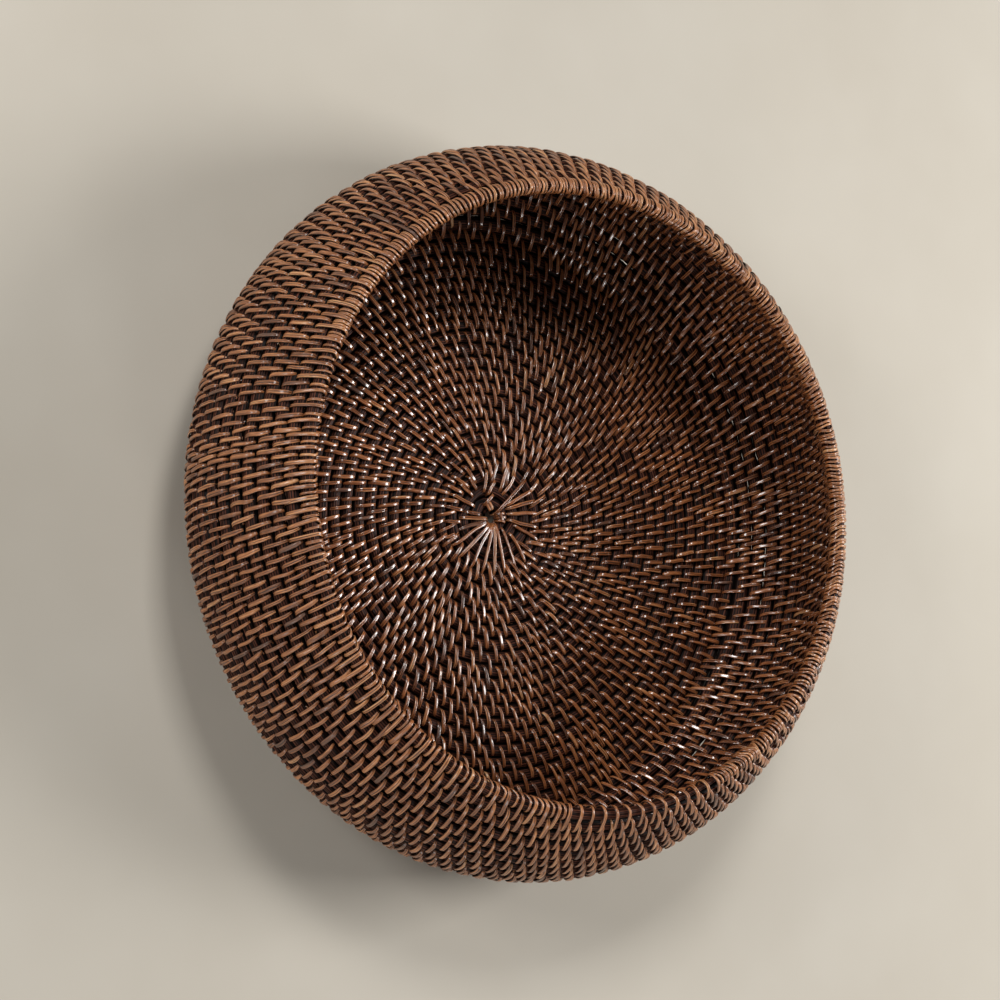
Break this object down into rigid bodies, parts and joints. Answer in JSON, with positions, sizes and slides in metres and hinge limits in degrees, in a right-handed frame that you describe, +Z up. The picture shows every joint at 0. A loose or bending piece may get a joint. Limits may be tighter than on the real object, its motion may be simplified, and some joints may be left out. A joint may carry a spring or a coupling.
{
  "type": "coiled basket",
  "caption": "Shallow round coiled-cane bowl basket with a flat spiral floor, a bulging wall that curves in to the mouth, and a bound rim.",
  "frame": {"origin": "middle of the flat underside, on the surface the basket stands on", "axes": "+Z up through the open mouth, along the bowl's axis; X and Y level, the mouth is round"},
  "size_m": [0.3983, 0.3984, 0.1144],
  "materials": {
    "core_cane": "dark stained cane strands, dull satin",
    "lashing_cane": "red-brown cane peel, glossy varnish",
    "binding_cane": "light brown cane peel with fine grain, satin varnish"
  },
  "bodies": {
    "root": {"centre_ring": "lashing_cane", "start_knot": "lashing_cane", "floor_row_01": "core_cane", "floor_row_02": "core_cane", "floor_row_03": "core_cane", "floor_row_04": "core_cane", "floor_row_05": "core_cane", "floor_row_06": "core_cane", "floor_row_07": "core_cane", "floor_row_08": "core_cane", "floor_row_09": "core_cane", "floor_row_10": "core_cane", "floor_row_11": "core_cane", "floor_row_12": "core_cane", "floor_row_13": "core_cane", "floor_row_14": "core_cane", "floor_row_15": "core_cane", "floor_row_16": "core_cane", "floor_row_17": "core_cane", "floor_row_18": "core_cane", "floor_row_19": "core_cane", "floor_row_20": "core_cane", "floor_row_21": "core_cane", "floor_row_22": "core_cane", "corner_row": "core_cane", "wall_row_01": "core_cane", "wall_row_02": "core_cane", "wall_row_03": "core_cane", "wall_row_04": "core_cane", "wall_row_05": "core_cane", "wall_row_06": "core_cane", "wall_row_07": "core_cane", "wall_row_08": "core_cane", "wall_row_09": "core_cane", "wall_row_10": "core_cane", "wall_row_11": "core_cane", "wall_row_12": "core_cane", "wall_row_13": "core_cane", "wall_row_14": "core_cane", "rim_row": "core_cane", "rim_binding": "binding_cane"}
  },
  "joints": []
}
